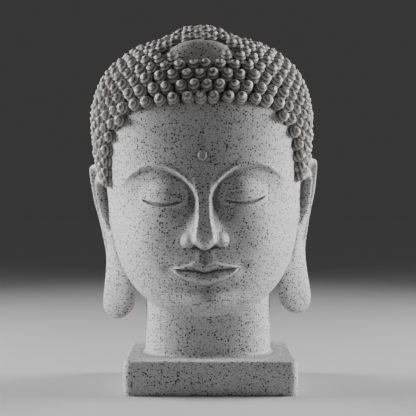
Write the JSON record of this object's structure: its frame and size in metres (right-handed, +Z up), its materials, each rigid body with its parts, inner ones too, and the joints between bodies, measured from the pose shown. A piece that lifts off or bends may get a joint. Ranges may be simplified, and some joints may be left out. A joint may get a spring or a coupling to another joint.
{
  "type": "stone buddha head",
  "caption": "Cast stone Buddha head with snail-shell curls and long ear lobes, on its neck and a low rectangular plinth, all in one piece.",
  "frame": {"origin": "centre of the plinth's flat underside", "axes": "+Z up, the face looks along -Y, +X at the viewer's right"},
  "size_m": [0.1908, 0.211, 0.2962],
  "materials": {
    "speckled_stone": "light grey cast stone with fine dark speckles, dull"
  },
  "bodies": {
    "root": {"buddha_head": "speckled_stone"}
  },
  "joints": []
}
